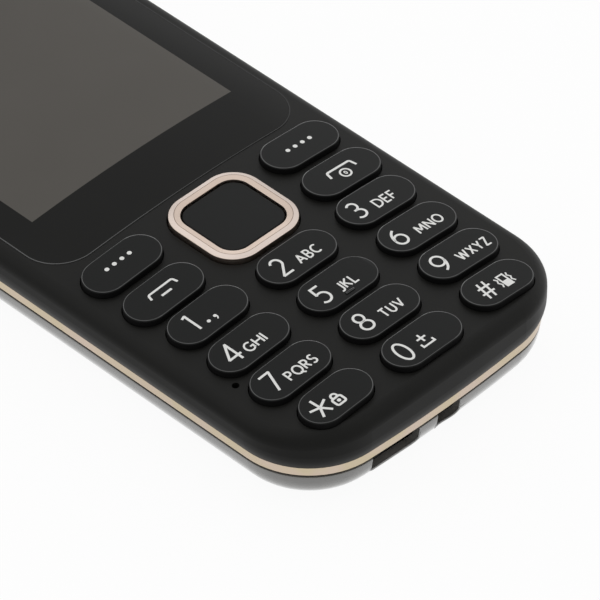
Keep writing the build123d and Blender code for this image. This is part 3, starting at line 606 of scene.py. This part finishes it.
def beadHighlight():
    # painted highlight: pale at the left, nearly black at the right, broken up by noise
    paint = Paint("beadHighlight")
    across = paint.axes()[0].stepped(*bead["fade"])
    # noise breaks up the painted highlight and the roughness
    highlightPatch = paint.noise(bead["highlightPatch"], 2.0) * bead["highlightPatchShare"]
    tone = paint.mix(*bead["look"], (across + highlightPatch).clamped())
    return paint.surface(Base_Color=tone, Roughness=highlightPatch + bead["rough"], Specular_IOR_Level=0.3)


def buildBead():
    # a rounded frame, cut across so that it can follow the crown
    bpy.ops.object.select_all(action="DESELECT")
    bpy.ops.mesh.primitive_plane_add(size=1.0, location=(0, bead["middleY"] * mm, 0))
    piece = startPiece("lens_bead")
    wide, long = [2 * (bead[side] + bead["outer"]) * mm for side in ("halfX", "halfY")]
    bpy.ops.transform.resize(value=(wide, long, 1))
    cornersFrom = long / 2 - bead["cornerReach"] * mm
    archFrom = long / 2 - bead["archReach"] * mm
    for side, corner in ((1, "topCorner"), (-1, "corner")):
        selectWhere(piece, lambda place, normal: place.y * side > cornersFrom, "VERT")
        bpy.ops.mesh.bevel(offset=(bead[corner] + bead["outer"]) * mm, segments=20, affect="VERTICES")
    bpy.ops.mesh.select_mode(type="FACE")
    bpy.ops.mesh.select_all(action="SELECT")
    bpy.ops.mesh.inset(thickness=(bead["outer"] + bead["inner"]) * mm, use_even_offset=True)
    bpy.ops.mesh.delete(type="FACE")
    bpy.ops.mesh.select_all(action="SELECT")
    rise(bead["top"] + bead["bottom"])
    for x in bead["cuts"]:
        bpy.ops.mesh.select_all(action="SELECT")
        bpy.ops.mesh.bisect(plane_co=(x * mm, 0, 0), plane_no=(1, 0, 0))
    closeUp()
    bpy.ops.object.mode_set(mode="OBJECT")
    for vertex in piece.data.vertices:
        vertex.co.z += (faceHeight(vertex.co.x / mm) - bead["bottom"]) * mm
        if vertex.co.y > archFrom:
            vertex.co.y += bead["archRise"] * mm * max(0.0, 1 - (vertex.co.x / (bead["archHalf"] * mm)) ** 2)
    smooth("bead")
    endPiece(piece, "root", "shell_black", "bead")


finishes["bead"] = beadHighlight()
buildBead()
print("lens bead built")

# turned metal ring round the camera window in the back
cameraTrim = {"y": 45.0, "outer": 3.85, "inner": 3.42, "high": 1.0, "low": 0.45, "edge": 0.1}


def buildCameraTrim():
    bpy.ops.object.select_all(action="DESELECT")
    bpy.ops.mesh.primitive_circle_add(vertices=72, radius=cameraTrim["outer"] * mm, fill_type="NGON",
                                      location=(0, cameraTrim["y"] * mm, cameraTrim["high"] * mm))
    piece = startPiece("camera_trim")
    bpy.ops.mesh.inset(thickness=(cameraTrim["outer"] - cameraTrim["inner"]) * mm)
    bpy.ops.mesh.delete(type="FACE")
    bpy.ops.mesh.select_all(action="SELECT")
    rise(cameraTrim["low"] - cameraTrim["high"])
    closeUp()
    selectWhere(piece, lambda center, normal: normal.z < -modelling["flat"])
    bpy.ops.mesh.bevel(offset=cameraTrim["edge"] * mm, segments=3)
    smooth("cameraTrim")
    endPiece(piece, "root", "speaker_black", "camera_trim")


buildCameraTrim()
print("camera ring built")

# places of the keys, and the raised mark of the 5 key, on a cap like the 2 key's
keypad = {"pitchX": 15.6, "pitchY": 7.55, "firstRow": -30.65, "middleDrop": 0.8, "trim": 1.25,
          "softX": 16.5, "softY": -15.6, "callY": -23.4}
keyOrder = ["1", "2", "3", "4", "5", "6", "7", "8", "9", "star", "0", "hash"]
upperKeys = {"soft_key_left": (-1, "softY"), "soft_key_right": (1, "softY"), "call_key": (-1, "callY"),
             "end_key": (1, "callY")}
mark = {"length": 1.6, "width": 0.42, "height": 0.34, "edge": 0.14, "y": -2.2, "proud": 0.15}


def keyMiddle(key):
    # middle of a key in plan, in millimetres
    if key in upperKeys:
        side, row = upperKeys[key]
        return side * keypad["softX"], keypad[row]
    row, column = divmod(keyOrder.index(key.removeprefix("key_")), 3)
    column -= 1
    y = keypad["firstRow"] - row * keypad["pitchY"] - (keypad["middleDrop"] if column == 0 else 0)
    x = column * (keypad["pitchX"] - (keypad["trim"] / 2 if row == 3 else 0))
    return x, y


def buildFive():
    cap = meshFromNode("key_2", "key_5_cap")
    bpy.ops.transform.translate(value=(0, -keypad["pitchY"] * mm, 0))
    bpy.ops.object.mode_set(mode="OBJECT")
    bpy.ops.mesh.customdata_custom_splitnormals_clear()
    smooth("cap")
    even = cap.modifiers.new("even", "WEIGHTED_NORMAL")
    even.keep_sharp = True
    bpy.ops.object.modifier_apply(modifier="even")
    endPiece(cap, "key_5", "key_black", "key_black")
    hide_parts("key_5")
    x, y = keyMiddle("key_5")
    bpy.ops.object.select_all(action="DESELECT")
    top = faceHeight(x, crown["keyProud"]) + mark["proud"]
    bpy.ops.mesh.primitive_cube_add(size=1.0, location=(x * mm, (y + mark["y"]) * mm,
                                                        (top - mark["height"] / 2) * mm))
    piece = startPiece("key_5_mark")
    bpy.ops.transform.resize(value=(mark["length"] * mm, mark["width"] * mm, mark["height"] * mm))
    bpy.ops.mesh.bevel(offset=mark["edge"] * mm, segments=3)
    smooth("mark")
    endPiece(piece, "key_5", "key_black", "key_black")


buildFive()
print("5 key built")

# white legends on the keys: strokes of even width, printed on the crowned tops
# each sign, 1 high, has its width and its strokes: corners, and arcs as centre, two radii and two angles
letterShapes = {
    "A": (.80, [[(0, 0), (.40, 1), (.80, 0)], [(.14, .34), (.66, .34)]]),
    "B": (.56, [[(0, 0), (0, 1), (.27, 1), (.27, .76, .23, .24, 90, -90), (0, .52)],
                [(.27, .52), (.29, .26, .27, .26, 90, -90), (0, 0)]]),
    "C": (.66, [[(.44, .5, .44, .5, 55, 305)]]),
    "D": (.70, [[(0, 0), (0, 1), (.22, 1), (.22, .5, .48, .5, 90, -90), (0, 0)]]),
    "E": (.48, [[(.48, 1), (0, 1), (0, 0), (.48, 0)], [(0, .52), (.44, .52)]]),
    "F": (.46, [[(.46, 1), (0, 1), (0, 0)], [(0, .52), (.42, .52)]]),
    "G": (.80, [[(.44, .5, .44, .5, 50, 320), (.78, .46), (.48, .46)]]),
    "H": (.68, [[(0, 0), (0, 1)], [(.68, 0), (.68, 1)], [(0, .52), (.68, .52)]]),
    "I": (.04, [[(.02, 0), (.02, 1)]]),
    "J": (.34, [[(.34, 1), (.34, .18), (.10, .18, .24, .26, 0, -90), (-.02, -.06)]]),
    "K": (.56, [[(0, 0), (0, 1)], [(.52, 1), (.02, .48)], [(.14, .60), (.56, 0)]]),
    "L": (.46, [[(0, 1), (0, 0), (.46, 0)]]),
    "M": (.92, [[(0, 0), (.08, 1)], [(.08, 1), (.46, .25)], [(.46, .25), (.84, 1)], [(.84, 1), (.92, 0)]]),
    "N": (.70, [[(0, 0), (0, 1)], [(0, 1), (.70, 0)], [(.70, 0), (.70, 1)]]),
    "O": (.88, [[(.44, .5, .44, .5, 90, 450)]]),
    "P": (.52, [[(0, 0), (0, 1), (.26, 1), (.26, .74, .26, .26, 90, -90), (0, .48)]]),
    "Q": (.88, [[(.44, .5, .44, .5, 90, 450)], [(.46, .14), (.86, -.20)]]),
    "R": (.56, [[(0, 0), (0, 1), (.26, 1), (.26, .74, .25, .26, 90, -90), (0, .48)],
                [(.24, .48), (.56, 0)]]),
    "S": (.52, [[(.27, .75, .24, .25, 35, 270), (.25, .25, .27, .25, 90, -145)]]),
    "T": (.68, [[(0, 1), (.68, 1)], [(.34, 1), (.34, 0)]]),
    "U": (.66, [[(0, 1), (0, .33), (.33, .33, .33, .33, 180, 360), (.66, 1)]]),
    "V": (.76, [[(0, 1), (.38, 0)], [(.38, 0), (.76, 1)]]),
    "W": (1.16, [[(0, 1), (.30, 0)], [(.30, 0), (.58, .95)], [(.58, .95), (.86, 0)], [(.86, 0), (1.16, 1)]]),
    "X": (.68, [[(0, 0), (.68, 1)], [(0, 1), (.68, 0)]]),
    "Y": (.68, [[(0, 1), (.34, .48), (.68, 1)], [(.34, .48), (.34, 0)]]),
    "Z": (.60, [[(.02, 1), (.60, 1), (0, 0), (.62, 0)]]),
    "0": (.51, [[(.255, .5, .255, .5, 90, 450)]]),
    "1": (.20, [[(0, .93), (.18, 1), (.18, 0)]]),
    "2": (.52, [[(.25, .72, .24, .28, 155, -30), (.0, 0), (.52, 0)]]),
    "3": (.52, [[(.23, .76, .23, .24, 145, -90), (.14, .52)], [(.23, .52), (.23, .26, .28, .26, 90, -140)]]),
    "4": (.58, [[(.43, 0), (.43, 1), (0, .27), (.58, .27)]]),
    "5": (.52, [[(.47, 1), (.08, 1), (.05, .57), (.21, .31, .29, .31, 122, -138)]]),
    "6": (.57, [[(.285, .31, .285, .31, 90, 450)], [(.60, .30, .60, .70, 112, 178)]]),
    "7": (.50, [[(0, 1), (.50, 1), (.14, 0)]]),
    "8": (.55, [[(.275, .76, .215, .24, 90, 450)], [(.275, .265, .275, .265, 90, 450)]]),
    "9": (.57, [[(.285, .69, .285, .31, 90, 450)], [(-.03, .70, .60, .70, -68, -2)]]),
}
legend = {"digitHeight": 3.25, "digitStroke": 0.35, "digitX": -3.03, "digitBase": -1.6,
          "letterHeight": 1.56, "letterGap": 0.45, "letterStroke": 0.27, "letterBase": -1.48,
          "thickness": 0.05, "sunk": 0.015, "facets": 1, "near": 1e-4,
          "sharp": 35, "blunt": 100, "sharpReach": 0.5, "bluntReach": 0.2,
          "dotPitch": 1.36, "dotRadius": 0.33, "dotX": -0.1,
          "dotY": {"soft_key_left": 0.60, "soft_key_right": 0.08}}
# letters of a key, and where they begin and end across it
letterPlaces = {"key_2": ("ABC", -.58, 3.08), "key_3": ("DEF", -.85, 2.66), "key_4": ("GHI", -1.24, 1.98),
                "key_5": ("JKL", -.66, 2.39), "key_6": ("MNO", -.72, 3.75), "key_7": ("PQRS", -1.23, 3.62),
                "key_8": ("TUV", -.34, 3.33), "key_9": ("WXYZ", -.72, 4.7)}
# how far a digit leaves the common place: across, up, and growth of its height
digitShifts = {"1": (.35, .28, 0.0), "3": (-.45, .05, -.1), "4": (.0, .18, .25), "6": (-.45, .05, -.1),
               "7": (-.08, .12, .15), "9": (-.28, 0.0, 0.0), "0": (-.45, -.05, .2)}


def apart(first, second):
    return (Vector(first) - Vector(second)).length


def strokePoints(stroke, stride=12):
    # points of a stroke: its corners, and points along its arcs every so many degrees, none twice
    points = []
    for item in stroke:
        if len(item) == 2:
            points.append(item)
            continue
        middleX, middleY, radiusX, radiusY, start, stop = item
        count = max(3, round(abs(stop - start) / stride))
        for index in range(count + 1):
            angle = radians(start + (stop - start) * index / count)
            points.append((middleX + radiusX * cos(angle), middleY + radiusY * sin(angle)))
    pairs = zip(points, points[1:])
    return points[:1] + [here for before, here in pairs if apart(here, before) > legend["near"]]


def glyph(letter, left, base, wide, high, width):
    # strokes of one letter in millimetres, each with its width
    strokes = [strokePoints(stroke) for stroke in letterShapes[letter][1]]
    return [([(left + x * wide, base + y * high) for x, y in points], width) for points in strokes]


def word(letters, left, right):
    # letters between two ends, with even gaps
    gap, base, high, stroke = [legend["letter" + name] for name in ("Gap", "Base", "Height", "Stroke")]
    widths = [letterShapes[letter][0] for letter in letters]
    wide = (right - left - gap * (len(letters) - 1)) / sum(widths)
    shapes = []
    x = left
    for letter, width in zip(letters, widths):
        shapes += glyph(letter, x, base, wide, high, stroke)
        x += width * wide + gap
    return shapes


def digit(name):
    across, up, growth = digitShifts.get(name, (0.0, 0.0, 0.0))
    height = legend["digitHeight"] + growth
    left = legend["digitX"] + across - letterShapes[name][0] * height / 2
    return glyph(name, left, legend["digitBase"] + up - growth / 2, height, height, legend["digitStroke"])


def drawn(strokes, width):
    return [(strokePoints(stroke), width) for stroke in strokes]


def dot(x, y, radius):
    # a filled dot: a ring as wide as it is round
    return drawn([[(x, y, radius / 2, radius / 2, 0, 360)]], radius)


def box(left, low, right, high):
    return [(left, low), (left, high), (right, high), (right, low), (left, low)]


# signs in millimetres from the middle of the key
handset = [(-2.34, -.34), (-2.2, .2), (-1.85, .2, .35, .4, 180, 90), (1.85, .2, .35, .4, 90, 0),
           (2.34, -.34)]
wave = [(.0, .95), (.26, .5), (.0, .02), (.26, -.48), (.0, -1.0)]
symbols = {
    "call_key": drawn([[(x + .15, y + .25) for x, y in strokePoints(handset)]], .33)
    + drawn([[(-.77, -.46), (1.01, -.46)]], .36),
    "end_key": drawn([[(x + .2, 1.3 * y + .12) for x, y in strokePoints(handset)]], .36)
    + drawn([[(.2, -.61, .78, .78, 90, 450)]], .28) + drawn([[(.2, -.61, .16, .28, 90, 450)]], .16),
    "key_1": dot(-.82, -1.05, .27) + dot(.40, -.95, .26)
    + drawn([[(.52, -.95), (.56, -1.15), (.50, -1.4), (.30, -1.62)]], .2),
    "key_star": drawn([[(-2.9, -.05), (-2.9 + 1.5 * cos(radians(angle)), 1.8 * sin(radians(angle)) - .05)]
                       for angle in range(22, 382, 72)], .36)
    + drawn([[(-.77, -1.25, .3, .3, 180, 270), (.11, -1.25, .3, .3, 270, 360), (.11, -.55, .3, .3, 0, 90),
              (-.77, -.55, .3, .3, 90, 180), (-1.07, -1.25)]], .34)
    + drawn([[(-.75, -.28), (-.33, .05, .42, .45, 180, 0), (.09, -.28)]], .32) + dot(-.33, -.90, .28),
    "key_0": drawn([[(-.81, .12), (.69, .12)], [(-.06, -.63), (-.06, .87)],
                    [(-.98, -.78), (-.98, -1.38), (.99, -1.38), (.99, -.78)]], .30),
    "key_hash": drawn([[(-2.95, -1.75), (-2.45, 1.45)], [(-2.0, -1.75), (-1.5, 1.45)],
                       [(-3.35, -.68), (-1.25, -.68)], [(-3.15, .45), (-1.05, .45)]], .32)
    + drawn([box(.50, -1.5, 1.55, .72)], .26)
    + drawn([[(.5, y), (1.55, y)] for y in (-1.3, -1.05, -.8, -.55)], .3)
    + drawn([[(x - .12, y - .35) for x, y in wave], [(2.17 - x, y - .35) for x, y in wave]], .22),
}
for key, y in legend["dotY"].items():
    symbols[key] = []
    for index in range(4):
        symbols[key] += dot((index - 1.5) * legend["dotPitch"] + legend["dotX"], y, legend["dotRadius"])


def turnAt(points, index):
    # by how many degrees a stroke turns at one of its points
    before, here, after = [Vector(point) for point in points[index - 1:index + 2]]
    return degrees((here - before).angle(after - here))


def strokeRuns(points, width):
    # a stroke cut at its sharp corners, each cut end drawn out so that the corner stays full
    closed = len(points) > 2 and apart(points[0], points[-1]) < legend["near"]
    turns = {index: turnAt(points, index) for index in range(1, len(points) - 1)}
    cuts = [index for index, turn in turns.items() if turn > legend["sharp"]]
    if closed and not cuts:
        return [(points[:-1], True)]
    ends = [0] + cuts + [len(points) - 1]
    runs = []
    for start, stop in zip(ends, ends[1:]):
        run = [Vector(point) for point in points[start:stop + 1]]
        for index, tip, inner in ((start, 0, 1), (stop, -1, -2)):
            if index in cuts or closed:
                reach = legend["sharpReach" if turns.get(index, 0) < legend["blunt"] else "bluntReach"]
                run[tip] = run[tip] + (run[tip] - run[inner]).normalized() * reach * width
        runs.append((run, False))
    return runs


def rod(name, points, width, facets, closed=False):
    # a round line through points in millimetres
    line = bpy.data.curves.new(name, "CURVE")
    line.dimensions = "3D"
    line.bevel_depth = width / 2 * mm
    line.bevel_resolution = facets
    line.use_fill_caps = True
    spline = line.splines.new("POLY")
    spline.points.add(len(points) - 1)
    for point, (x, y, z) in zip(spline.points, points):
        point.co = (x * mm, y * mm, z * mm, 1.0)
    spline.use_cyclic_u = closed
    piece = bpy.data.objects.new(name, line)
    bpy.context.collection.objects.link(piece)
    return piece


def meshOf(rods):
    # round lines made one mesh
    bpy.ops.object.select_all(action="DESELECT")
    for piece in rods:
        piece.select_set(True)
    bpy.context.view_layer.objects.active = rods[0]
    bpy.ops.object.convert(target="MESH")
    if len(rods) > 1:
        bpy.ops.object.join()
    return bpy.context.object


def printLegend(key, shapes):
    # flat strokes, made a mesh, then laid on the key's crowned top
    middleX, middleY = keyMiddle(key)
    strokes = []
    for points, width in shapes:
        for run, closed in strokeRuns(points, width):
            strokes.append(rod("stroke", [(x, y, 0.0) for x, y in run], width, legend["facets"], closed))
    printed = meshOf(strokes)
    printed.name = "legend_" + key
    for vertex in printed.data.vertices:
        x = vertex.co.x / mm + middleX
        lift = vertex.co.z / (legend["digitStroke"] * mm) * legend["thickness"]
        lift += legend["thickness"] / 2 - legend["sunk"]
        height = faceHeight(x, crown["keyProud"]) + lift
        vertex.co = (x * mm, vertex.co.y + middleY * mm, height * mm)
    printed.data.materials.append(finishes["legend"])
    bpy.ops.object.shade_flat()
    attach(printed, key)


for key in sorted(name for name in frame["bodies"] if "key" in name and name != "ok_key"):
    shapes = list(symbols.get(key, []))
    if key[-1].isdigit():
        shapes += digit(key[-1])
    if key in letterPlaces:
        shapes += word(*letterPlaces[key])
    printLegend(key, shapes)
print("legends printed")

# lips of the two port openings in the back cover, pale grey: a painted highlight of the cut edge
cover = {"inset": 0.1, "round": 4.95, "endRadius": 227.0, "end": -59.0}
lip = {"thick": 0.26, "proud": 0.05, "stride": 8, "facets": 3,
       "usb": [(-13.6, 5.1), (-13.6, 3.3), (-12.6, 3.3, 1.0, 1.0, 180, 270), (-6.0, 3.3, 1.0, 1.0, 270, 360),
               (-5.0, 5.1)],
       "jack": [(-1.95, 5.1), (.25, 3.45, 2.2, 2.2, 180, 360), (2.45, 5.1)]}


def coverEnd(x, z):
    # how far out the cover's lower end is, in millimetres
    height = min(z, cover["round"])
    inset = cover["inset"] + cover["round"] - sqrt(cover["round"] ** 2 - (cover["round"] - height) ** 2)
    radius = cover["endRadius"] - inset
    return cover["end"] + cover["endRadius"] - sqrt(radius ** 2 - x ** 2)


# the pale grey is a painted highlight of the lit cut edge
finishes["lip"] = moulding("lipHighlight", grey(.32), grey(.38), 0.2, 0.5, 0.8 * mm, 0.0005 * mm)


def buildLip(name):
    # a thin round line along an opening's edge, laid on the cover's end
    inset = lip["thick"] / 2 - lip["proud"]
    points = [(x, coverEnd(x, z) + inset, z) for x, z in strokePoints(lip[name], lip["stride"])]
    piece = meshOf([rod(name + "_lip", points, lip["thick"], lip["facets"])])
    smooth("lip")
    endPiece(piece, "battery_cover", "cover_gloss", "lip")


for name in ("usb", "jack"):
    buildLip(name)
print("port lips built")
